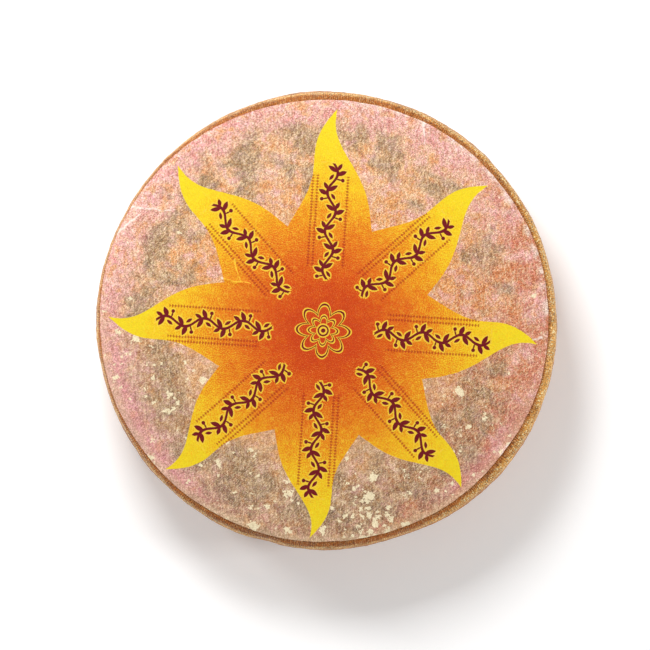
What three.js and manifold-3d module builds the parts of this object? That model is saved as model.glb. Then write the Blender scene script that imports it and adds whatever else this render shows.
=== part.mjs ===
// A washed-rind mountain cheese wheel lying flat, with a round paper label glued to its upper face.
// Millimetres, +Z up. The origin is the centre of the flat lower face, and +Y is the label's twelve o'clock.
import * as THREE from "three";
import { mergeVertices } from "three/addons/utils/BufferGeometryUtils.js";
import Module from "manifold-3d";

// Driving dimensions of the cheese.
const WHEEL_RADIUS = 150; // at mid-height, where the side stands out most
const WHEEL_HEIGHT = 80;
const SIDE_BULGE = 3; // how far mid-height stands out past the wheel's corners
const UPPER_SHOULDER = 8; // rounding from the upper face to the side
const LOWER_SHOULDER = 7; // rounding from the lower face to the side
// A hand-pressed wheel isn't quite round: how many lobes, how high in millimetres, and the angle of a crest in degrees.
const OUT_OF_ROUND = [
  { lobes: 2, height: 0.3, crest: -12 },
  { lobes: 3, height: 0.55, crest: 92 },
  { lobes: 5, height: 0.3, crest: 35 },
];

// Driving dimensions of the label.
const BARE_BORDER = 6; // from the wheel's widest radius in to the edge of a centred label
const LABEL_SHIFT = { x: -1.8, y: 0.4 }; // how far off-centre it was glued
const LABEL_THICKNESS = 0.4;
const GLUE_GAP = 0.3; // clearance between the label and the rind

// How finely the round stretches are faceted.
const STEPS_ROUND = 96;
const SHOULDER_STEPS = 6;
const SIDE_STEPS = 8;

const QUARTER_TURN = Math.PI / 2;
const MERGE_WITHIN = 1e-4;

const labelRadius = WHEEL_RADIUS - BARE_BORDER;
// The side is one arc, centred at mid-height, whose ends lie SIDE_BULGE inside its middle.
const sideRadius = ((WHEEL_HEIGHT / 2) ** 2 + SIDE_BULGE ** 2) / (2 * SIDE_BULGE);
const sideCentre = WHEEL_RADIUS - sideRadius;

// Where a shoulder of this rounding meets the side arc smoothly: its centre's distance from the axis, and the
// angle above or below level at which the two arcs touch.
function shoulderFit(rounding) {
  const rise = WHEEL_HEIGHT / 2 - rounding;
  const apart = sideRadius - rounding;
  return { centre: sideCentre + Math.sqrt(apart ** 2 - rise ** 2), touch: Math.asin(rise / apart) };
}

// Points on an arc in the (distance from the axis, height) plane, both ends included.
function arc(centreX, centreY, radius, from, to, steps) {
  return Array.from({ length: steps + 1 }, (_, i) => {
    const angle = from + ((to - from) * i) / steps;
    return new THREE.Vector2(centreX + radius * Math.cos(angle), centreY + radius * Math.sin(angle));
  });
}

// The rind's upper outline, from the side's middle up over the shoulder to the axis, moved out by lift.
function upperOutline(lift) {
  const { centre, touch } = shoulderFit(UPPER_SHOULDER);
  const side = arc(sideCentre, WHEEL_HEIGHT / 2, sideRadius + lift, 0, touch, SIDE_STEPS / 2);
  const shoulderHeight = WHEEL_HEIGHT - UPPER_SHOULDER;
  const shoulder = arc(centre, shoulderHeight, UPPER_SHOULDER + lift, touch, QUARTER_TURN, SHOULDER_STEPS);
  return [...side, ...shoulder.slice(1), new THREE.Vector2(0, WHEEL_HEIGHT + lift)];
}

// The rind's lower outline, from the axis out over the lower shoulder to just below the side's middle.
function lowerOutline() {
  const { centre, touch } = shoulderFit(LOWER_SHOULDER);
  const shoulder = arc(centre, LOWER_SHOULDER, LOWER_SHOULDER, -QUARTER_TURN, -touch, SHOULDER_STEPS);
  const side = arc(sideCentre, WHEEL_HEIGHT / 2, sideRadius, -touch, 0, SIDE_STEPS / 2);
  return [new THREE.Vector2(0, 0), ...shoulder, ...side.slice(1, -1)];
}

// How much further out than a true circle the rind lies in a direction, as a factor.
function roundness(angle) {
  return OUT_OF_ROUND.reduce(
    (factor, { lobes, height, crest }) =>
      factor + (height / WHEEL_RADIUS) * Math.cos(lobes * (angle - THREE.MathUtils.degToRad(crest))),
    1,
  );
}

// An outline turned about the vertical axis, then pushed out of round.
function turned(outline) {
  const geometry = new THREE.LatheGeometry(outline, STEPS_ROUND).rotateX(QUARTER_TURN);
  const position = geometry.getAttribute("position");
  for (let i = 0; i < position.count; i++) {
    const factor = roundness(Math.atan2(position.getY(i), position.getX(i)));
    position.setXY(i, position.getX(i) * factor, position.getY(i) * factor);
  }
  return geometry;
}

// A closed geometry as a solid that can be cut. Triangles that shrank to a line at a pole are dropped.
function solidOf(wasm, geometry) {
  const bare = new THREE.BufferGeometry().setIndex(geometry.index);
  bare.setAttribute("position", geometry.getAttribute("position"));
  const merged = mergeVertices(bare, MERGE_WITHIN);
  const corners = merged.index.array;
  const kept = [];
  for (let i = 0; i < corners.length; i += 3) {
    const [a, b, c] = corners.slice(i, i + 3);
    if (a !== b && b !== c && c !== a) kept.push(a, b, c);
  }
  const vertProperties = new Float32Array(merged.getAttribute("position").array);
  return new wasm.Manifold(new wasm.Mesh({ numProp: 3, vertProperties, triVerts: new Uint32Array(kept) }));
}

function geometryOf(solid) {
  const { vertProperties, triVerts } = solid.getMesh();
  const geometry = new THREE.BufferGeometry().setIndex(new THREE.BufferAttribute(triVerts, 1));
  geometry.setAttribute("position", new THREE.BufferAttribute(vertProperties, 3));
  geometry.computeVertexNormals();
  return geometry;
}

// Paste and rind, which grew as one piece.
function cheeseWheel() {
  const rind = new THREE.MeshStandardMaterial({ color: 0xa8662e, roughness: 0.45, metalness: 0 });
  const mesh = new THREE.Mesh(turned([...lowerOutline(), ...upperOutline(0)]), rind);
  mesh.name = "cheese_wheel";
  return mesh;
}

// A round sheet that lies on the upper face and bends down over the shoulder where it reaches that far.
function paperLabel(wasm) {
  const under = upperOutline(GLUE_GAP).reverse();
  const over = upperOutline(GLUE_GAP + LABEL_THICKNESS);
  const skin = solidOf(wasm, turned([...under, ...over]));
  const cutter = new THREE.CylinderGeometry(labelRadius, labelRadius, 2 * WHEEL_HEIGHT, STEPS_ROUND)
    .rotateX(QUARTER_TURN)
    .translate(LABEL_SHIFT.x, LABEL_SHIFT.y, 1.5 * WHEEL_HEIGHT);
  const sheet = skin.intersect(solidOf(wasm, cutter));
  const paper = new THREE.MeshStandardMaterial({ color: 0xd9a07e, roughness: 0.6, metalness: 0 });
  const mesh = new THREE.Mesh(geometryOf(sheet), paper);
  mesh.name = "paper_label";
  return mesh;
}

const wasm = await Module();
wasm.setup();

const wheel = new THREE.Group();
wheel.add(cheeseWheel(), paperLabel(wasm));

export default wheel;
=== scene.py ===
"""The looks of a washed-rind cheese wheel and its printed tissue label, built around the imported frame.

Lengths are metres, apart from the patterns, which are worked out in millimetres. +Z is up, and +Y is the
label's twelve o'clock. The wheel lies on its flat lower face at height 0.
"""

import math

import bpy
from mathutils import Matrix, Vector, noise


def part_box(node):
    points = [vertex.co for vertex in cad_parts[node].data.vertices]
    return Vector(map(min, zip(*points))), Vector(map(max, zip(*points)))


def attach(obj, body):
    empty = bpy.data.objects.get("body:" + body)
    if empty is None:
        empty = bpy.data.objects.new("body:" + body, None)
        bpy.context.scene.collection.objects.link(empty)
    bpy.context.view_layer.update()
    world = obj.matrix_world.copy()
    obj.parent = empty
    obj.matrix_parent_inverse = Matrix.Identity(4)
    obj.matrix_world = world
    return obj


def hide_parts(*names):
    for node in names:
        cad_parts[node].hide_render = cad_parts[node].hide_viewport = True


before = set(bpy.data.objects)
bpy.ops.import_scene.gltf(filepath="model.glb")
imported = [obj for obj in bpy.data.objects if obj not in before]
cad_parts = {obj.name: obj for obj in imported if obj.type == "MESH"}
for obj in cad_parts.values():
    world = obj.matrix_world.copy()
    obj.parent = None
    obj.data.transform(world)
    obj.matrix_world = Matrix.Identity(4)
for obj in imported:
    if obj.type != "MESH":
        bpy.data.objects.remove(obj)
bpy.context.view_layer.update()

bl_info = {
    "name": "Cheese Wheel",
    "version": (1, 0, 0),
    "blender": (4, 5, 0),
    "location": "View3D > Sidebar > Cheese",
    "description": "Builds a washed-rind cheese wheel with a printed tissue label",
    "category": "Add Mesh",
}

BODY = "root"
MM = 0.001
WHEEL_LOW, WHEEL_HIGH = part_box("cheese_wheel")
LABEL_LOW, LABEL_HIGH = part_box("paper_label")
WHEEL_HEIGHT = WHEEL_HIGH.z - WHEEL_LOW.z
LABEL_CENTRE = (LABEL_LOW + LABEL_HIGH) / 2
LABEL_RADIUS = (LABEL_HIGH.y - LABEL_LOW.y) / 2


def linear(code):
    """A colour written as RRGGBB, as the linear red, green and blue that shaders take."""
    parts = [int(code[i : i + 2], 16) / 255 for i in (0, 2, 4)]
    return [c / 12.92 if c <= 0.04045 else ((c + 0.055) / 1.055) ** 2.4 for c in parts]


def length(name, description, default):
    """A length that the user can set."""
    return bpy.props.FloatProperty(
        name=name, description=description, default=default, min=0, unit="LENGTH", subtype="DISTANCE",
        precision=5,
    )


def colour(name, description, code):
    """A colour that the user can set."""
    return bpy.props.FloatVectorProperty(
        name=name, description=description, default=linear(code), size=3, min=0, max=1, subtype="COLOR"
    )


# ---------------------------------------------------------------------------------------- settings


class WheelSettings(bpy.types.PropertyGroup):
    """Sizes of the pressed cheese."""

    radius: length("Radius", "Half the width at mid-height", 0.150)
    bulge: length("Side bulge", "How far mid-height stands out past the corners", 0.003)
    upper_shoulder: length("Upper shoulder", "Rounding from the upper face to the side", 0.008)
    lower_shoulder: length("Lower shoulder", "Rounding from the lower face to the side", 0.007)
    dents: length("Dents", "Height of the broad hollows and swellings", 0.0016)
    folds: length("Folds", "Height of the ridges that the pressing cloth left", 0.0011)
    pits: length("Pits", "Depth of the small pits in the rind", 0.0005)


class RindColours(bpy.types.PropertyGroup):
    """Colours of the washed rind."""

    amber: colour("Amber", "The rind at large", "b5671c")
    gold: colour("Gold", "The rind's dry patches", "dd9440")
    # crest stands in for light: the shoulder and the cloth's crests are painted lighter with it, a painted
    # highlight.
    crest: colour("Crest", "The well-lit shoulder and the cloth's crests", "f6b65c")
    # crust is a few dry grains all over, and painted glints where they gather on the shoulder.
    crust_and_glint: colour("Crust", "Sparkling dry grains", "ffe6ac")
    # russet is the rind's own colour in streaks, and painted shade in the cloth's hollows and in a band
    # along the label's edge.
    russet_and_shade: colour("Russet", "Moist rind by the label's edge, in streaks and between threads", "a34c0e")
    mould: colour("Mould", "Grey-brown patches", "8c6840")
    pit: colour("Pit", "The bottoms of the pits", "5a3012")


class LabelSettings(bpy.types.PropertyGroup):
    """Sizes of the label sheet."""

    thickness: length("Thickness", "Of the sheet", 0.00022)
    clearance: length("Clearance", "Between the sheet and the rind", 0.0004)
    ripple: length("Ripple", "Height of the fine ripples in the glued sheet", 0.00025)
    crease: length("Crease", "Height of the creases", 0.0006)
    shrinkage: length("Shrinkage", "How much the radius lost as the wet sheet dried", 0.0006)
    oval: length("Oval", "How much wider and lower than a circle the sheet was drawn", 0.0012)
    edge_wander: length("Edge wander", "How far the torn-soft edge strays from a circle", 0.0009)


class TissueColours(bpy.types.PropertyGroup):
    """Colours of the unprinted tissue, with the rind showing through it."""

    peach: colour("Peach", "The tissue at large", "f2c497")
    orange: colour("Orange", "Where the rind below is bright", "eaa052")
    # olive is laid over the lower side of the tissue.
    olive: colour("Olive", "Where the rind below is dull", "b28f6a")
    mould: colour("Mould", "Where the rind below is mouldy", "937e5e")
    pink: colour("Pink", "The dyed border", "f8c4ca")
    rose: colour("Rose", "Where the border took more dye", "e58a98")
    ember: colour("Ember", "Where the rind below is reddest", "c86028")
    rust: colour("Rust", "Reddish flecks", "c06a42")
    fleck: colour("Fleck", "Dark flecks", "5f4c3a")
    cream: colour("Cream", "Where the paper is thickest", "f6ddb6")
    flake: colour("Flake", "Dry flakes under the paper", "fff2cc")
    pale: colour("Pale", "Creases and lifted edges", "fbf0e4")


class InkColours(bpy.types.PropertyGroup):
    """Colours of the print, from the sun's tips inwards, and of its ornament."""

    lemon: colour("Lemon", "The rays' tips", "f7df20")
    yellow: colour("Yellow", "The rays' outer part", "f8c81e")
    orange: colour("Orange", "Where the rays part", "ea8414")
    scarlet: colour("Scarlet", "Between the rays' roots and the centre", "d85208")
    red: colour("Red", "The sun's centre", "c93e0a")
    sprig: colour("Sprig", "The leafy stems and the rosette", "74101a")
    rule: colour("Rule", "The rows of small lozenges", "ab2c12")
    outline: colour("Outline", "The line round the stems and the rosette", "fad43e")


class StageSettings(bpy.types.PropertyGroup):
    """Camera, floor and lights."""

    lens: bpy.props.FloatProperty(name="Lens", description="Focal length in mm", default=200, min=20)
    distance: length("Distance", "From the camera to the wheel's mid-height", 2.369)
    floor_size: length("Floor size", "Width of the floor", 9.0)
    daylight: bpy.props.FloatProperty(
        name="Daylight", description="Strength of the even white surround", default=0.3, min=0
    )


# ------------------------------------------------------------------------------------ shader maths


class Value:
    """A number that changes over a surface. Arithmetic on it adds Math nodes to its finish."""

    def __init__(self, finish, socket):
        self.finish = finish
        self.socket = socket

    def math(self, operation, *others):
        return self.finish.math(operation, self, *others)

    def __add__(self, other):
        return self.math("ADD", other)

    def __sub__(self, other):
        return self.math("SUBTRACT", other)

    def __rsub__(self, other):
        return self.finish.math("SUBTRACT", other, self)

    def __mul__(self, other):
        return self.math("MULTIPLY", other)

    def __truediv__(self, other):
        return self.math("DIVIDE", other)

    def __rtruediv__(self, other):
        return self.finish.math("DIVIDE", other, self)

    def __pow__(self, other):
        return self.math("POWER", other)

    def __abs__(self):
        return self.math("ABSOLUTE")

    __radd__ = __add__
    __rmul__ = __mul__

    def step(self, low, high):
        """0 below low, 1 above high, and a smooth rise between them. high may be below low."""
        if low > high:
            return 1 - self.step(high, low)
        values = {"Value": self, "From Min": low, "From Max": high}
        return self.finish.node("ShaderNodeMapRange", values, interpolation_type="SMOOTHSTEP")


class Finish:
    """A material being put together. Its one node method adds any node."""

    def __init__(self, name):
        self.material = bpy.data.materials.new(name)
        self.material.use_nodes = True
        self.tree = self.material.node_tree
        self.shader = self.tree.nodes["Principled BSDF"]

    def set(self, node, values):
        """Gives a node's sockets, by name or number, a value or a link."""
        for key, value in values.items():
            if isinstance(value, Value):
                self.tree.links.new(value.socket, node.inputs[key])
            else:
                node.inputs[key].default_value = value

    def node(self, kind, values, output=0, **settings):
        """A new node's output. Its settings are set first, then its sockets."""
        node = self.tree.nodes.new(kind)
        for name, setting in settings.items():
            setattr(node, name, setting)
        self.set(node, values)
        return Value(self, node.outputs[output])

    def math(self, operation, *values):
        return self.node("ShaderNodeMath", dict(enumerate(values)), operation=operation)

    def vector(self, operation, *values):
        return self.node("ShaderNodeVectorMath", dict(enumerate(values)), operation=operation)

    def place(self, centre=(0, 0, 0), scale=(1, 1, 1)):
        """Object coordinates in millimetres from a centre, which is given in metres."""
        spot = self.node("ShaderNodeTexCoord", {}, output="Object")
        factors = [s / MM for s in scale]
        offset = [-c * f for c, f in zip(centre, factors)]
        return self.node("ShaderNodeMapping", {"Vector": spot, "Location": offset, "Scale": factors})

    def split(self, place):
        """The three numbers of a place."""
        return [self.node("ShaderNodeSeparateXYZ", {0: place}, output=i) for i in range(3)]

    def noise(self, place, size, detail=2, roughness=0.5, distortion=0):
        """Soft noise from 0 to 1, whose lumps are about size millimetres apart."""
        values = {"Vector": place, "Scale": 1 / size, "Detail": detail}
        values |= {"Roughness": roughness, "Distortion": distortion}
        return self.node("ShaderNodeTexNoise", values)

    def speckle(self, place, size):
        """Three unrelated numbers from 0 to 1, each the same over a cell about size mm across."""
        values = {"Vector": place, "Scale": 1 / size}
        return self.split(self.node("ShaderNodeTexVoronoi", values, output="Color"))

    def warped(self, place, size, reach):
        """A place pushed sideways by up to about half of reach, in lumps of this size."""
        values = {"Vector": place, "Scale": 1 / size, "Detail": 1}
        push = self.node("ShaderNodeTexNoise", values, output="Color")
        centred = self.vector("SUBTRACT", push, (0.5, 0.5, 0.5))
        scaled = self.node("ShaderNodeVectorMath", {0: centred, "Scale": reach}, operation="SCALE")
        return self.vector("ADD", place, scaled)

    def mix(self, share, below, above, blend="MIX"):
        """One colour laid over another by a share from 0 to 1."""
        below, above = [list(c) + [1] if not isinstance(c, Value) else c for c in (below, above)]
        values = {0: share, 6: below, 7: above}
        return self.node("ShaderNodeMix", values, output=2, data_type="RGBA", blend_type=blend)

    def ramp(self, value, stops):
        """Colours along a number, from (number, colour) stops."""
        first, last = stops[0][0], stops[-1][0]
        share = self.node("ShaderNodeMapRange", {"Value": value, "From Min": first, "From Max": last})
        result = self.node("ShaderNodeValToRGB", {0: share})
        elements = result.socket.node.color_ramp.elements
        for _ in stops[2:]:
            elements.new(0.5)
        for element, (number, code) in zip(elements, stops):
            element.position = (number - first) / (last - first)
            element.color = list(code) + [1]
        return result

    def distance(self, x, y):
        """How far out a place with these two numbers is."""
        return (x * x + y * y).math("SQRT")

    def least(self, *values):
        """The smallest of some numbers."""
        result = values[0]
        for value in values[1:]:
            result = result.math("MINIMUM", value)
        return result

    def most(self, *values):
        """The greatest of some numbers."""
        result = values[0]
        for value in values[1:]:
            result = result.math("MAXIMUM", value)
        return result

    def bump(self, height, depth):
        """A normal from heights of 0 to 1 that stand for depth millimetres."""
        return self.node("ShaderNodeBump", {"Height": height, "Distance": depth * MM})


# ------------------------------------------------------------------------------------ mesh helpers


def start_piece(name, add, **where):
    """A new primitive with nothing else selected, left in edit mode with all of it selected."""
    bpy.ops.object.select_all(action="DESELECT")
    add(**where)
    piece = bpy.context.object
    piece.name = piece.data.name = name
    bpy.ops.object.mode_set(mode="EDIT")
    bpy.ops.mesh.select_all(action="SELECT")
    return piece


def end_editing(piece):
    """Leaves edit mode and puts the piece's place into its mesh."""
    bpy.ops.object.mode_set(mode="OBJECT")
    bpy.ops.object.transform_apply(location=True, rotation=True, scale=True)
    return piece


def apply_modifier(piece, kind, **settings):
    """Adds a modifier, sets it and applies it."""
    modifier = piece.modifiers.new(kind.title(), kind)
    for name, setting in settings.items():
        setattr(modifier, name, setting)
    bpy.context.view_layer.objects.active = piece
    bpy.ops.object.modifier_apply(modifier=modifier.name)


def clouds(name, size, hard=False, depth=1):
    """A solid noise texture for Displace, with lumps of this size."""
    texture = bpy.data.textures.new(name, "CLOUDS")
    texture.noise_scale = size
    texture.noise_depth = depth
    texture.noise_type = "HARD_NOISE" if hard else "SOFT_NOISE"
    return texture


# --------------------------------------------------------------------------------------- the wheel

# A hand-pressed wheel isn't quite round: how many lobes, their height in mm, a crest's bearing in degrees.
OUT_OF_ROUND = ((2, 0.3, -12), (3, 0.55, 92), (5, 0.3, 35))

# Knocks in the upper edge: the bearing in degrees, the depth at the top in mm, the width in degrees.
KNOCKS = ((254.5, 2.4, 3.2), (292, 2.0, 8), (195, 1.2, 9), (106, 1.4, 8))

# How finely the wheel is drawn, before it is subdivided. The rings that lie across its two flat faces are
# shares of the radius where a shoulder starts.
POINTS_ROUND = 192
LOWER_FACE_RINGS = (0.1, 0.4, 0.7, 0.92, 1)
LOWER_SHOULDER_STEPS, SIDE_STEPS, UPPER_SHOULDER_STEPS = 4, 13, 5
UPPER_FACE_RINGS = (0.97, 0.9, 0.5, 0.1)
CLOSE = 1e-4  # a point this near to a ring is on it
MERGE_WITHIN = 1e-6

# How much of the cloth's marks the upper face takes: where its shoulder starts, and at the least.
SHOULDER_SHARE, FACE_SHARE = 0.45, 0.12


def roundness(angle):
    """How much further out than a true circle the rind lies in a direction, as a factor."""
    return 1 + sum(
        height * MM / WHEEL_HIGH.y * math.cos(lobes * (angle - math.radians(crest)))
        for lobes, height, crest in OUT_OF_ROUND
    )


def knock(angle):
    """How far in the upper edge was knocked in a direction, as a share of the radius."""
    share = 0
    for bearing, depth, width in KNOCKS:
        off = (math.degrees(angle) - bearing + 180) % 360 - 180
        share += depth * MM / WHEEL_HIGH.y * math.exp(-((off / width) ** 2))
    return share


def arc(centre, radius, start, end, steps):
    """Points along an arc in the (distance from the axis, height) plane, without the first."""
    angles = [start + (end - start) * i / steps for i in range(1, steps + 1)]
    return [(centre[0] + radius * math.cos(a), centre[1] + radius * math.sin(a)) for a in angles]


def wheel_outline(sizes):
    """The rind's outline, from near the axis below, out, up and back to near the axis above."""
    mid = WHEEL_HEIGHT / 2
    side = (mid**2 + sizes.bulge**2) / (2 * sizes.bulge)
    side_centre = (sizes.radius - side, mid)

    def touch(shoulder):
        """Where a shoulder of this rounding meets the side: its centre's distance out, and the angle."""
        apart, rise = side - shoulder, mid - shoulder
        return side_centre[0] + math.sqrt(apart**2 - rise**2), math.asin(rise / apart)

    low_r, low_angle = touch(sizes.lower_shoulder)
    high_r, high_angle = touch(sizes.upper_shoulder)
    down, quarter = -math.pi / 2, math.pi / 2
    low_centre = (low_r, sizes.lower_shoulder)
    high_centre = (high_r, WHEEL_HEIGHT - sizes.upper_shoulder)
    points = [(share * low_r, 0) for share in LOWER_FACE_RINGS]
    points += arc(low_centre, sizes.lower_shoulder, down, -low_angle, LOWER_SHOULDER_STEPS)
    points += arc(side_centre, side, -low_angle, high_angle, SIDE_STEPS)
    points += arc(high_centre, sizes.upper_shoulder, high_angle, quarter, UPPER_SHOULDER_STEPS)
    return points + [(share * high_r, WHEEL_HEIGHT) for share in UPPER_FACE_RINGS]


def extrude_ring(here, there):
    """Extrudes the selected ring from one point of the outline to the next."""
    bpy.ops.mesh.extrude_edges_move(TRANSFORM_OT_translate={"value": (0, 0, there[1] - here[1])})
    grow = there[0] / here[0]
    bpy.ops.transform.resize(value=(grow, grow, 1), center_override=(0, 0, there[1]))


def select_ring(piece, height, radius):
    """Selects, in edit mode, the ring of points at this height and distance from the axis."""
    bpy.ops.mesh.select_all(action="DESELECT")
    bpy.ops.object.mode_set(mode="OBJECT")
    for vertex in piece.data.vertices:
        vertex.select = abs(vertex.co.z - height) < CLOSE and abs(vertex.co.xy.length - radius) < CLOSE
    bpy.ops.object.mode_set(mode="EDIT")


def close_ring():
    """Closes the selected ring with a fan of faces to its middle."""
    bpy.ops.mesh.extrude_edges_move()
    bpy.ops.mesh.merge(type="CENTER")


def model_wheel(sizes):
    """The pressed cheese, drawn up ring by ring from its lower face, then dented, folded and pitted."""
    outline = wheel_outline(sizes)
    ring = {"vertices": POINTS_ROUND, "radius": outline[0][0], "fill_type": "NOTHING"}
    wheel = start_piece("washed_rind_wheel", bpy.ops.mesh.primitive_circle_add, location=(0, 0, 0), **ring)
    for here, there in zip(outline, outline[1:]):
        extrude_ring(here, there)
    close_ring()
    select_ring(wheel, 0, outline[0][0])
    close_ring()
    bpy.ops.mesh.select_all(action="SELECT")
    bpy.ops.mesh.remove_doubles(threshold=MERGE_WITHIN)
    bpy.ops.mesh.normals_make_consistent(inside=False)
    end_editing(wheel)
    for vertex in wheel.data.vertices:
        angle = math.atan2(vertex.co.y, vertex.co.x)
        factor = roundness(angle) * (1 - knock(angle) * (vertex.co.z / WHEEL_HEIGHT) ** 2)
        vertex.co.x *= factor
        vertex.co.y *= factor
    weigh_rind(wheel, sizes)
    apply_modifier(wheel, "SUBSURF", levels=2, render_levels=2)
    texture_rind(wheel, sizes)
    rest_flat(wheel)
    bpy.ops.object.shade_smooth()
    return wheel


def weigh_rind(wheel, sizes):
    """Vertex weights: the side takes all of the cloth's marks, the upper face few, the lower face none."""
    group = wheel.vertex_groups.new(name="rind")
    edge = sizes.radius - sizes.bulge - sizes.upper_shoulder
    for vertex in wheel.data.vertices:
        outward = (vertex.co.xy.length - edge) / sizes.upper_shoulder + SHOULDER_SHARE
        outward = min(max(outward, FACE_SHARE), 1)
        off_floor = min(vertex.co.z / sizes.lower_shoulder, 1)
        group.add([vertex.index], outward * off_floor, "REPLACE")


def texture_rind(wheel, sizes):
    """Broad dents, ridges from the pressing cloth and small pits, as displaced mesh."""
    layers = (
        (clouds("dents", 0.045), sizes.dents, 0.5),
        (clouds("folds", 0.016, hard=True, depth=2), -sizes.folds, 0.3),
        (clouds("pits", 0.0035, depth=2), sizes.pits, 0.5),
    )
    for texture, height, middle in layers:
        apply_modifier(
            wheel, "DISPLACE", texture=texture, strength=height, mid_level=middle,
            vertex_group="rind", texture_coords="LOCAL",
        )


def rest_flat(wheel):
    """Presses anything below the surface that the wheel lies on back up to it."""
    for vertex in wheel.data.vertices:
        vertex.co.z = max(vertex.co.z, 0)


# ------------------------------------------------------------------------------- the rind's finish

THREAD_PITCH = 1.4  # of the pressing cloth, in millimetres


def cloth_print(across, along):
    """A cloth's print, from hollows at 0 to crests at 1, by the phases across and along its threads."""
    return across.math("SINE") * (0.5 + 0.5 * along.math("SINE")) * 0.5 + 0.5


def warm_shade(finish, base, shade):
    """A colour darkened by a number, its darks turning redder."""
    tint = finish.node("ShaderNodeCombineColor", {0: shade, 1: shade**1.2, 2: shade**1.4})
    return finish.mix(1.0, base, tint, "MULTIPLY")


def rind_finish(colours, sizes):
    """Moist orange-brown rind with a cloth print, grey-brown mould and dark pits, with painted highlights on
    the shoulder and the cloth's crests, painted glints, and painted shade in the cloth's hollows and along
    the label's edge.
    """
    finish = Finish("washed_rind")
    place = finish.place()
    x, y, z = finish.split(finish.warped(place, 7, 2.4))
    out = finish.distance(x, y)
    top = WHEEL_HEIGHT / MM
    grain = finish.noise(place, 0.9, 3, 0.75)
    specks = finish.speckle(place, 0.8)

    # The print of the pressing cloth, wound round the side and flat across the lower face, worn in places.
    threads = round(2 * math.pi * sizes.radius / MM / THREAD_PITCH)
    per_mm = 2 * math.pi / THREAD_PITCH
    side_weave = cloth_print(y.math("ARCTAN2", x) * threads, (z - out) * per_mm)
    face_weave = cloth_print(x * per_mm, y * per_mm)
    weave = side_weave + (face_weave - side_weave) * z.step(3, 1)
    worn = finish.noise(place, 12, 3).step(0.3, 0.6)

    # Broad patches and streaks, a painted highlight on the shoulder, a band of painted shade along the
    # label's edge, and mould.
    shoulder = (z + (finish.noise(place, 22, 4, 0.6) - 0.5) * 30).step(top - 26, top - 6)
    patch = finish.noise(place, 17, 5, 0.62, 0.4).step(0.36, 0.62)
    streaks = finish.noise(finish.place(scale=(1, 1, 3.2)), 34, 5, 0.62).step(0.38, 0.62)
    base = finish.mix(patch, colours.amber, colours.gold)
    base = finish.mix(streaks * (0.6 - shoulder * 0.5), base, colours.russet_and_shade)
    # The shoulder is painted lighter with the crest colour, with less russet and mould on it: a painted
    # highlight.
    base = finish.mix(shoulder * (0.4 + patch * 0.5), base, colours.crest)
    past_label = finish.distance(x - LABEL_CENTRE.x / MM, y - LABEL_CENTRE.y / MM) - LABEL_RADIUS / MM
    # A band of painted shade along the label's edge, in russet.
    label_edge_shade = past_label.step(3.4, 1.2) * z.step(top - 9, top - 5)
    base = finish.mix(label_edge_shade * 0.85, base, colours.russet_and_shade)
    mould = finish.noise(place, 26, 5, 0.66, 0.5).step(0.52, 0.68) * grain.step(0.3, 0.6)
    base = finish.mix(mould * (0.7 - shoulder * 0.4), base, colours.mould)

    # Painted shade in the cloth's hollows and a painted highlight on its crests, dry grains that gather as
    # painted glints on the shoulder, and dark pits.
    # The cloth's hollows are painted darker and its crests lighter: painted shade and painted highlight.
    base = finish.mix(weave.step(0.5, 0.05) * (0.3 + worn * 0.45), base, colours.russet_and_shade)
    base = finish.mix(weave.step(0.55, 0.95) * (0.2 + worn * 0.55), base, colours.crest)
    # Pale grains: a few everywhere, and many on the shoulder as painted glints; few in the painted shade by
    # the label.
    dry = (1 - label_edge_shade * 0.8) * (0.2 + shoulder * z.step(top - 24, top - 5) * 0.8)
    base = finish.mix(specks[1].step(0.7, 0.85) * dry, base, colours.crust_and_glint)
    base = finish.mix(specks[2].step(0.8, 0.92) * 0.6, base, colours.pit)
    pits = finish.noise(place, 1.9, 2, 0.8).step(0.6, 0.7) * finish.noise(place, 30, 2).step(0.42, 0.6)
    base = finish.mix(pits * 0.8, base, colours.pit)
    uneven = (grain - 0.5) * 0.9 + (specks[0] - 0.5) * 0.35
    base = warm_shade(finish, base, 1 + uneven * (0.7 + z.step(top - 24, top - 5) * 0.3))

    relief = weave * (0.35 + worn * 0.45) + grain * 0.25 + (1 - pits) * 0.25
    finish.set(finish.shader, {
        "Base Color": base,
        "Roughness": 0.4 + grain * 0.2 + mould * 0.15,
        "Coat Weight": worn * 0.12,
        "Coat Roughness": 0.25,
        "Specular IOR Level": 0.2,
        "Normal": finish.bump(relief, 1.1),
    })
    return finish.material


# --------------------------------------------------------------------------------------- the label

# Creases in the sheet: where each starts and ends, in mm from the label's centre, and how wide it is.
CREASES = (
    ((-125, 73), (-96, 71), 1.0),
    ((-134, 57), (-118, 68), 1.2),
    ((64, 128), (64, 114), 0.9),
    ((140, -11), (133, -12), 0.7),
    ((125, -73), (114, -87), 0.8),
    ((-65, 27), (-47, 23), 0.8),
    ((-58, 39), (-54, 25), 0.7),
)
MOST_FOLDED = 1.2  # times the height of one crease, where creases cross

EDGE_POINTS = 784  # round the sheet, whose grid has a quarter as many squares a side
LAID_FROM = 0.01  # how high above its place the flat sheet is, before it is laid down
EDGE_FADE = 6  # the power by which the edge's change of radius dies out inwards
CUT_EDGE = 50  # degrees, past which a corner stays sharp

# In the square of the UV map, where the middle of a side lies along both axes, and how wide that side is.
PRINTED_SIDE, GLUED_SIDE = (0.455, 0.9), (0.93, 0.13)


def gap_to_line(point, start, end):
    """How far a point is from a straight line between two others."""
    along = Vector(end) - Vector(start)
    share = (point - Vector(start)).dot(along) / along.length_squared
    return (point - Vector(start) - along * min(max(share, 0), 1)).length


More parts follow.
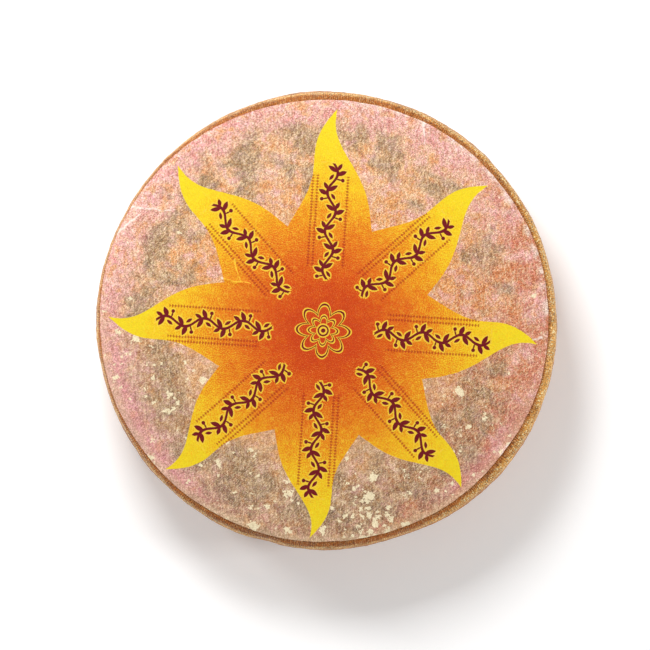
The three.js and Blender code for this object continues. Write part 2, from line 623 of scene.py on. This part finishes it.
def edge_radius(angle, sizes):
    """The label's radius in a direction: shrunk and drawn oval as it dried, with a wandering edge."""
    spot = Vector((math.cos(angle), math.sin(angle), 0))
    wander = sizes.edge_wander * (noise.noise(spot * 2.6) + 0.3 * noise.noise(spot * 14))
    return LABEL_RADIUS - sizes.shrinkage + sizes.oval * math.cos(2 * angle) + wander


def sheet_height(point, sizes):
    """How far the glued sheet stands above its resting height at a point, given in mm from its centre."""
    spot = Vector((point.x, point.y, 0))
    ripple = noise.noise(spot / 11) * 0.6 + abs(noise.noise(spot / 5)) * 0.5
    fold = sum(math.exp(-((gap_to_line(point, a, b) / w) ** 2)) for a, b, w in CREASES)
    return sizes.ripple * ripple + sizes.crease * min(fold, MOST_FOLDED)


def model_label(sizes, wheel):
    """One round sheet, gridded, laid onto the wheel, rippled and creased, then given its thickness."""
    ring = {"vertices": EDGE_POINTS, "radius": LABEL_RADIUS, "fill_type": "NOTHING"}
    above = (LABEL_CENTRE.x, LABEL_CENTRE.y, LABEL_HIGH.z + LAID_FROM)
    label = start_piece("tissue_label", bpy.ops.mesh.primitive_circle_add, location=above, **ring)
    bpy.ops.mesh.fill_grid(span=EDGE_POINTS // 4, use_interp_simple=True)
    bpy.ops.mesh.normals_make_consistent(inside=False)
    end_editing(label)
    if label.data.polygons[0].normal.z < 0:
        label.data.flip_normals()
    centre = LABEL_CENTRE.xy
    for vertex in label.data.vertices:
        arm = vertex.co.xy - centre
        factor = edge_radius(math.atan2(arm.y, arm.x), sizes) / LABEL_RADIUS
        share = (arm.length / LABEL_RADIUS) ** EDGE_FADE
        vertex.co.xy = centre + arm * (1 + (factor - 1) * share)
    apply_modifier(
        label, "SHRINKWRAP", target=wheel, wrap_method="PROJECT", wrap_mode="ABOVE_SURFACE",
        use_project_z=True, use_negative_direction=True, use_positive_direction=False,
        offset=sizes.clearance,
    )
    for vertex in label.data.vertices:
        vertex.co.z += sheet_height((vertex.co.xy - centre) / MM, sizes)
    apply_modifier(label, "SOLIDIFY", thickness=sizes.thickness, offset=1)
    bpy.ops.object.select_all(action="DESELECT")
    label.select_set(True)
    bpy.ops.object.shade_smooth_by_angle(angle=math.radians(CUT_EDGE))
    map_label(label)
    return label


def map_label(label):
    """A UV map that gives nearly all of its square to the printed side, and a corner to the glued side."""
    layer = label.data.uv_layers.new(name="OFBake")
    for face in label.data.polygons:
        middle, width = PRINTED_SIDE if face.normal.z > 0 else GLUED_SIDE
        for corner in face.loop_indices:
            point = label.data.vertices[label.data.loops[corner].vertex_index].co
            arm = (point.xy - LABEL_CENTRE.xy) / (2 * LABEL_RADIUS)
            layer.data[corner].uv = (middle + arm.x * width, middle + arm.y * width)


# ------------------------------------------------------------------------------ the label's finish

# The print, in millimetres from the sun's centre, which lies off the label's centre.
SUN_CENTRE = (-0.6, -6.4)
RAYS = 8
FIRST_RAY = 41.3  # degrees, anticlockwise from +X
RAY_ROOT, RAY_TIP = 71.0, 138.5
TIP_RISE = 4.6  # how much further out the top ray's tip lies than a level ray's
RAY_HOLLOW = 1.25  # how much a ray's sides curve in towards its tip
RAY_SWAY = 2.2  # degrees, to and fro, between a ray's root and its tip

# The leafy stem along each ray: where it starts, the length and height of a bend, and half its thickness.
SPRIG_START, SPRIG_PITCH, SPRIG_RISE, STEM = 33.0, 12.5, 3.0, 0.78
BENDS = 6
SPRIG_END = SPRIG_START + BENDS * SPRIG_PITCH
STEM_SLANT = 0.84  # a place's distance from the stem, as a share of its distance measured across the ray
# The leaves of a bend: the middle, the lean in degrees, half the length and half the width.
LEAVES = (
    ((6.3, 5.6), 66, 3.5, 1.5),
    ((8.9, -0.4), -58, 3.6, 1.4),
    ((10.3, 4.1), 30, 2.7, 1.2),
    ((3.6, -0.9), 35, 2.4, 1.0),
    ((2.2, 4.0), 105, 2.2, 0.5),
)
BERRY, BERRY_RADIUS = (1.8, 6.4), 1.2

# The rows of lozenges beside the stem: how far off, the gap between two rows, the length of one lozenge
# with its space, and how much shorter than the stem a row is at each end.
RULE_OFFSET, RULE_GAP, RULE_PITCH, RULE_INSET = 9.8, 3, 1.9, 8

ROSETTE = 17.0  # the radius of its petals


def sun(finish, y, out, turn):
    """How far inside the sun a place is, in mm, by its height, distance out and angle from a ray."""
    tip = y / out * TIP_RISE + RAY_TIP
    share = ((out - RAY_ROOT) / (tip - RAY_ROOT)).math("MAXIMUM", 0)
    half = (1 - share) / (1 + RAY_HOLLOW * share) * (math.pi / RAYS)
    lean = (share * (-2 * math.pi)).math("SINE") * math.radians(RAY_SWAY)
    return finish.most((half - abs(turn - lean)) * out, RAY_ROOT - out)


def leaf(along, across, centre, angle, half_length, half_width):
    """How far outside an almond-shaped leaf a place is, in millimetres."""
    c, s = math.cos(math.radians(angle)), math.sin(math.radians(angle))
    a, b = along - centre[0], across - centre[1]
    lengthwise, crosswise = a * c + b * s, b * c - a * s
    taper = 1 - lengthwise * lengthwise / half_length**2
    return abs(crosswise) - half_width * taper


def sprig(finish, along, across):
    """How far outside a winding, leafy stem a place is, in millimetres along and across its ray."""
    turns = (along - SPRIG_START) / SPRIG_PITCH
    bend = turns.math("FLOOR")
    part = turns - bend
    side = 1 - 2 * bend.math("MODULO", 2)
    a, b = part * SPRIG_PITCH, across * side
    stem = abs(b - (part * math.pi).math("SINE") * SPRIG_RISE) * STEM_SLANT - STEM
    leaves = [leaf(a, b, *shape) for shape in LEAVES]
    berry = finish.distance(a - BERRY[0], b - BERRY[1]) - BERRY_RADIUS
    ends = finish.most(SPRIG_START - along, along - SPRIG_END)
    return finish.most(finish.least(stem, berry, *leaves), ends)


def rule(finish, along, across):
    """How far outside the rows of small lozenges a place is, in mm: two on one side, one on the other."""
    turns = along / RULE_PITCH
    part = abs(turns - turns.math("FLOOR") - 0.5) * RULE_PITCH
    rows = finish.least(abs(abs(across) - RULE_OFFSET), abs(across - RULE_OFFSET - RULE_GAP))
    lozenge = part * 0.8 + rows * 0.6 - 0.6
    return finish.most(lozenge, (SPRIG_START + RULE_INSET) - along, along - (SPRIG_END - RULE_INSET))


def rosette(finish, out, turn):
    """How far outside the eight-petalled rosette's lines a place is, in millimetres."""
    petals = ROSETTE * (0.62 + 0.38 * abs((turn * (RAYS / 2)).math("COSINE")))
    line = abs(out - petals) - 0.6
    inner = abs(out - petals * 0.55) - 0.45
    ring = abs(out - 3.1) - 0.5
    return finish.least(line, inner, ring, out - 1.4)


def crease_marks(finish, place, x, y):
    """Pale, wandering lines that narrow along the creases, from 0 to 1, by mm from the label's centre."""
    x = x + (finish.noise(place, 11, 1) - 0.5) * 5
    y = y + (finish.noise(place, 9, 1) - 0.5) * 4
    marks = 0
    for start, end, width in CREASES:
        run, rise = end[0] - start[0], end[1] - start[1]
        a, b = x - start[0], y - start[1]
        share = ((a * run + b * rise) / (run**2 + rise**2)).math("MAXIMUM", 0).math("MINIMUM", 1)
        a, b = a - share * run, b - share * rise
        marks = (finish.distance(a, b) / (1.5 - share)).step(width * 1.1, width * 0.1) + marks
    return marks.math("MINIMUM", 1) * finish.noise(place, 3, 2, 0.6).step(0.3, 0.55)


# The tissue's fibres: how many degrees they lean, and their width in mm.
FIBRES = ((4, 1.0), (-48, 0.7))

# Dry flakes: the sizes of their cells, where they lie thickest, and how far from there they begin to thicken
# and are at their thickest.
FLAKE_CELLS = (11, 5.2)
FLAKES_THICKEST, THICKENING = (30, -131), (32, 10)


def strokes(finish, place, lean, width):
    """Noise in strokes five times as long as wide, leaning this many degrees anticlockwise from +Y."""
    turned = {"Vector": place, "Rotation": (0, 0, math.radians(lean)), "Scale": (1, 5, 1)}
    return finish.noise(finish.node("ShaderNodeMapping", turned, vector_type="TEXTURE"), width, 2, 0.6)


def flakes(finish, place, spot, low, size):
    """Ragged dry flakes, 0 or 1, at most one to a cell: thickest near one place, and few high up."""
    x, y = spot
    near = finish.distance(x - FLAKES_THICKEST[0], y - FLAKES_THICKEST[1]).step(*THICKENING)
    cells = {"Vector": finish.warped(place, size * 0.4, size * 0.4), "Scale": 1 / size}
    gap = finish.node("ShaderNodeTexVoronoi", cells, output="Distance", voronoi_dimensions="2D")
    chosen = finish.node("ShaderNodeTexVoronoi", cells, output="Color", voronoi_dimensions="2D")
    chance, width, _ = finish.split(chosen)
    there = (chance + near * 0.42 + low * 0.2).step(0.985, 0.99)
    ragged = (finish.noise(place, size * 0.3, 3, 0.6) - 0.5) * 1.3
    return (width * width * 0.25 + near * 0.13 + 0.06 + ragged - gap).step(0, 0.05) * there


def tissue(finish, colours, place, spot, grain, specks):
    """The unprinted tissue's colour, and how far low down a place is, from 0 to 1.

    It is peach within, has grey-brown mould around that and a pink border, and is duller low down.
    """
    x, y = spot
    out = finish.distance(x, y)
    low = (y + x.math("MAXIMUM", 0) * 0.45 + (finish.noise(place, 60, 2) - 0.5) * 90).step(38, -52)
    blotch = finish.noise(place, 10, 4, 0.6)

    # The rind's bright patches, seen through the tissue, and an olive tint that grows towards the bottom.
    patch = finish.noise(place, 24, 4, 0.6, 0.5)
    bright = (patch + out.step(110, 80) * 0.06).step(0.4, 0.6) * out.step(140, 92)
    base = finish.mix(bright, colours.peach, colours.orange)
    base = finish.mix(low * (0.9 - out.step(112, 88) * 0.75), base, colours.olive)

    # The dye, which ran unevenly.
    dyed = (out + (finish.noise(place, 16, 4, 0.6) - 0.5) * 50).step(116, 136)
    base = finish.mix(dyed * (0.95 - y.step(-90, -132) * 0.7 - low * 0.1), base, colours.pink)
    tint = finish.noise(place, 9, 4, 0.6, 0.5)
    deep = finish.mix(dyed, colours.pink, colours.rose)
    base = finish.mix(tint.step(0.5, 0.66) * (0.8 - low * 0.3), base, colours.orange)
    base = finish.mix(tint.step(0.52, 0.36) * (0.75 - low * 0.2), base, deep)

    # The reddest rind, to the right, and the mould in a broad ring.
    warm = (x - y * 0.35).step(50, 115) * finish.noise(place, 13, 4, 0.62).step(0.36, 0.56)
    base = finish.mix(warm * 0.8, base, colours.ember)
    ring = abs(out - low * 8 - 108).step(27, 6)
    mouldy = finish.noise(place, 19, 5, 0.62, 0.3) + (blotch - 0.5) * 0.25
    mouldy = mouldy + ring * 0.13 + low * (x * 0.0012 + 0.085) - x * 0.0004
    mouldy = mouldy.step(0.54, 0.72) * (out - low * 14).step(140, 122)
    base = finish.mix(mouldy * (0.72 - warm * 0.4), base, colours.mould)

    # Spots and blotches, from coarse to fine.
    spots = finish.noise(place, 12, 3, 0.6).step(0.62, 0.72) * out.step(146, 132)
    fleck = finish.mix(mouldy.math("MAXIMUM", low * 0.7), colours.rust, colours.fleck)
    base = finish.mix(spots * 0.45, base, colours.fleck)
    base = finish.mix(blotch.step(0.5, 0.68) * (0.2 + low * 0.25), base, fleck)
    base = finish.mix(blotch.step(0.5, 0.34) * (0.25 + low * 0.2), base, colours.cream)
    fine = finish.noise(place, 2.6, 3, 0.65)
    base = finish.mix(fine.step(0.5, 0.68) * 0.3, base, colours.orange)
    base = finish.mix(fine.step(0.5, 0.32) * 0.3, base, deep)
    for lean, width in FIBRES:
        fibre = strokes(finish, place, lean, width)
        base = finish.mix(fibre.step(0.52, 0.64) * 0.45, base, fleck)
        base = finish.mix(fibre.step(0.47, 0.36) * 0.45, base, colours.cream)
    base = finish.mix(grain.step(0.5, 0.64) * 0.22, base, fleck)
    base = finish.mix(grain.step(0.48, 0.34) * 0.2, base, colours.cream)
    base = finish.mix(specks[1].step(0.5, 1) * 0.25, base, colours.rust)
    base = finish.mix(specks[2].step(0.5, 1) * 0.22, base, colours.cream)

    # Low down, a blush inside the edge, a paler band along the edge itself and a paler middle. Upper right,
    # a lifted edge.
    base = finish.mix(low * out.step(128, 138) * y.step(-130, -95) * 0.35, base, colours.rose)
    base = finish.mix(out.step(137, 142) * low * 0.35, base, colours.cream)
    base = finish.mix(out.step(106, 82) * low * 0.3, base, colours.peach)
    fringe = out.step(139.5, 143.5) * (x + y).step(90, 170) * blotch.step(0.6, 0.4)
    return finish.mix(fringe * 0.6, base, colours.pale), low


def sun_print(finish, ink, pale, place, out, turn, grain):
    """The print's colour: the sun's mottled glow, under its rows of lozenges, sprigs and rosette."""
    along, across = out * turn.math("COSINE"), out * turn.math("SINE")
    mottle = finish.noise(place, 7, 5, 0.7)
    glow = out + (mottle - 0.5) * 55 + (grain - 0.5) * 120  # millimetres from the centre, blurred
    shades = [(8, ink.red), (34, ink.scarlet), (66, ink.orange), (96, ink.yellow), (122, ink.lemon)]
    base = finish.ramp(glow, shades)
    base = finish.mix(mottle.step(0.6, 0.72) * out.step(80, 110) * 0.7, base, ink.lemon)
    sparks = finish.noise(place, 3.2, 4, 0.65).step(0.54, 0.72) * out.step(20, 75)
    base = finish.mix(sparks * 0.45, base, ink.outline)
    base = finish.mix(grain.step(0.58, 0.75) * 0.06, base, pale)
    base = finish.mix(rule(finish, along, across).step(0.25, -0.1) * 0.72, base, ink.rule)
    marks = finish.least(sprig(finish, along, across), rosette(finish, out, turn))
    base = finish.mix(marks.step(1.1, 0.8) * 0.9, base, ink.outline)
    return finish.mix(marks.step(0.15, -0.1), base, ink.sprig)


def label_finish(tissue_colours, ink):
    """Thin tissue with the rind showing through, printed with an eight-rayed sun and leafy sprigs."""
    finish = Finish("printed_tissue")
    place = finish.place((LABEL_CENTRE.x, LABEL_CENTRE.y, 0))
    label_x, label_y, _ = finish.split(finish.warped(place, 5, 0.5))
    x, y = label_x - SUN_CENTRE[0], label_y - SUN_CENTRE[1]
    out = finish.distance(x, y)
    swing = (y.math("ARCTAN2", x) - math.radians(FIRST_RAY)) / (2 * math.pi / RAYS)
    turn = (swing - (swing + 0.5).math("FLOOR")) * (2 * math.pi / RAYS)
    grain = finish.noise(place, 0.65, 1, 0.5)
    specks = finish.speckle(place, 0.6)

    ground, low = tissue(finish, tissue_colours, place, (label_x, label_y), grain, specks)
    flaked = finish.most(*(flakes(finish, place, (label_x, label_y), low, size) for size in FLAKE_CELLS))
    ground = finish.mix(flaked * 0.9, ground, tissue_colours.flake)
    inside = sun(finish, y, out, turn).step(-0.2, 0.2)
    printed = sun_print(finish, ink, tissue_colours.pale, place, out, turn, grain)
    base = finish.mix(inside, ground, printed)

    # The paper's roughness shades bare tissue most, and the print and the flakes least.
    rough = (0.5 - grain) * 0.4 + (specks[0] - 0.5) * 0.62
    rough = rough * (1 - finish.most(inside * 0.82, flaked * 0.5)) * (1 - low * 0.22)
    # The label, print and tissue alike, is painted darker towards the bottom: painted shade.
    base = warm_shade(finish, base, 0.88 + rough - y.step(60, -90) * 0.04)
    creases = crease_marks(finish, place, label_x, label_y)
    base = finish.mix(creases * 0.7, base, finish.mix(inside, tissue_colours.pale, ink.outline))

    ripples = finish.noise(place, 3.2, 3, 0.6)
    finish.set(finish.shader, {
        "Base Color": base,
        "Roughness": 0.45 + ripples * 0.2,
        "Specular IOR Level": 0.15,
        "Normal": finish.bump(ripples * 0.6 + grain * 0.4, 0.5),
    })
    return finish.material


# --------------------------------------------------------------------------------------- the stage

# Soft lights that face the wheel's middle: where each stands, how wide it is, and its power in watts.
LIGHTS = {
    "key": ((-0.28, 0.72, 1.1), 0.4, 12.2),
    "left_edge": ((-1.2, 0.75, 0.55), 0.3, 8),
    "right_edge": ((1.4, -0.1, 0.6), 0.3, 8),
    "front_edge": ((-0.2, -1.4, 0.6), 0.3, 3),
}
CAMERA_SPOT = (-0.0012, -0.0024)  # the point that the camera stands over, which frames the wheel


def floor_finish():
    """Dull, nearly white, and giving off a little light of its own."""
    finish = Finish("pale_floor")
    white = linear("fafafa") + [1]
    finish.set(finish.shader, {
        "Base Color": white,
        "Roughness": 0.9,
        "Emission Color": white,
        "Emission Strength": 0.14,
    })
    return finish.material


def add_floor(width):
    """A plain pale floor, level with the wheel's lower face."""
    floor = start_piece("floor", bpy.ops.mesh.primitive_plane_add, size=width, location=(0, 0, 0))
    end_editing(floor)
    floor.data.materials.append(floor_finish())


def add_light(name, place, size, power):
    """A square soft light that faces the wheel's middle."""
    light = bpy.data.lights.new(name, "AREA")
    light.shape = "SQUARE"
    light.size = size
    light.energy = power
    lamp = bpy.data.objects.new(name, light)
    lamp.location = place
    towards = Vector((0, 0, WHEEL_HEIGHT / 2)) - Vector(place)
    lamp.rotation_euler = towards.to_track_quat("-Z", "Y").to_euler()
    bpy.context.scene.collection.objects.link(lamp)


def add_daylight(strength):
    """An even white surround."""
    world = bpy.data.worlds.new("studio")
    world.use_nodes = True
    background = world.node_tree.nodes["Background"]
    background.inputs["Color"].default_value = (1, 1, 1, 1)
    background.inputs["Strength"].default_value = strength
    bpy.context.scene.world = world


def add_camera(settings):
    """A camera that looks straight down on the labelled face."""
    data = bpy.data.cameras.new("camera")
    data.lens = settings.lens
    data.clip_end = 100
    camera = bpy.data.objects.new("camera", data)
    camera.location = (*CAMERA_SPOT, WHEEL_HEIGHT / 2 + settings.distance)
    bpy.context.scene.collection.objects.link(camera)
    bpy.context.scene.camera = camera


# --------------------------------------------------------------------------------------- operators


def finish_piece(piece, material, node):
    """Gives a piece its material and its place in the frame."""
    piece.data.materials.clear()
    piece.data.materials.append(material)
    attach(piece, BODY)
    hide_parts(node)


class CHEESE_OT_add_wheel(bpy.types.Operator):
    """Adds the pressed cheese with its washed rind"""

    bl_idname = "cheese.add_wheel"
    bl_label = "Add Wheel"

    def execute(self, context):
        scene = context.scene
        wheel = model_wheel(scene.wheel_sizes)
        material = rind_finish(scene.rind_colours, scene.wheel_sizes)
        finish_piece(wheel, material, "cheese_wheel")
        return {"FINISHED"}


class CHEESE_OT_add_label(bpy.types.Operator):
    """Adds the printed tissue label, laid onto the wheel"""

    bl_idname = "cheese.add_label"
    bl_label = "Add Label"

    def execute(self, context):
        scene = context.scene
        label = model_label(scene.label_sizes, bpy.data.objects["washed_rind_wheel"])
        material = label_finish(scene.tissue_colours, scene.ink_colours)
        finish_piece(label, material, "paper_label")
        return {"FINISHED"}


class CHEESE_OT_add_stage(bpy.types.Operator):
    """Adds the floor, the lights and the camera"""

    bl_idname = "cheese.add_stage"
    bl_label = "Add Stage"

    def execute(self, context):
        settings = context.scene.stage_settings
        add_floor(settings.floor_size)
        add_daylight(settings.daylight)
        for name, (place, size, power) in LIGHTS.items():
            add_light(name, place, size, power)
        add_camera(settings)
        context.scene.view_settings.view_transform = "Standard"
        return {"FINISHED"}


class CHEESE_PT_panel(bpy.types.Panel):
    """Lists the steps that build the wheel, with its sizes and colours"""

    bl_idname = "CHEESE_PT_panel"
    bl_label = "Cheese Wheel"
    bl_space_type = "VIEW_3D"
    bl_region_type = "UI"
    bl_category = "Cheese"

    def draw(self, context):
        for operator in OPERATORS:
            self.layout.operator(operator.bl_idname)
        for name in GROUPS:
            box = self.layout.box()
            group = getattr(context.scene, name)
            for setting in group.__annotations__:
                box.prop(group, setting)


GROUPS = {
    "wheel_sizes": WheelSettings,
    "rind_colours": RindColours,
    "label_sizes": LabelSettings,
    "tissue_colours": TissueColours,
    "ink_colours": InkColours,
    "stage_settings": StageSettings,
}
OPERATORS = (CHEESE_OT_add_wheel, CHEESE_OT_add_label, CHEESE_OT_add_stage)


def register():
    for group in (*GROUPS.values(), *OPERATORS, CHEESE_PT_panel):
        bpy.utils.register_class(group)
    for name, group in GROUPS.items():
        setattr(bpy.types.Scene, name, bpy.props.PointerProperty(type=group))


def unregister():
    for name in GROUPS:
        delattr(bpy.types.Scene, name)
    for group in (CHEESE_PT_panel, *reversed(OPERATORS), *reversed(GROUPS.values())):
        bpy.utils.unregister_class(group)


def main():
    register()
    bpy.ops.cheese.add_wheel()
    bpy.ops.cheese.add_label()
    bpy.ops.cheese.add_stage()


if __name__ == "__main__":
    main()
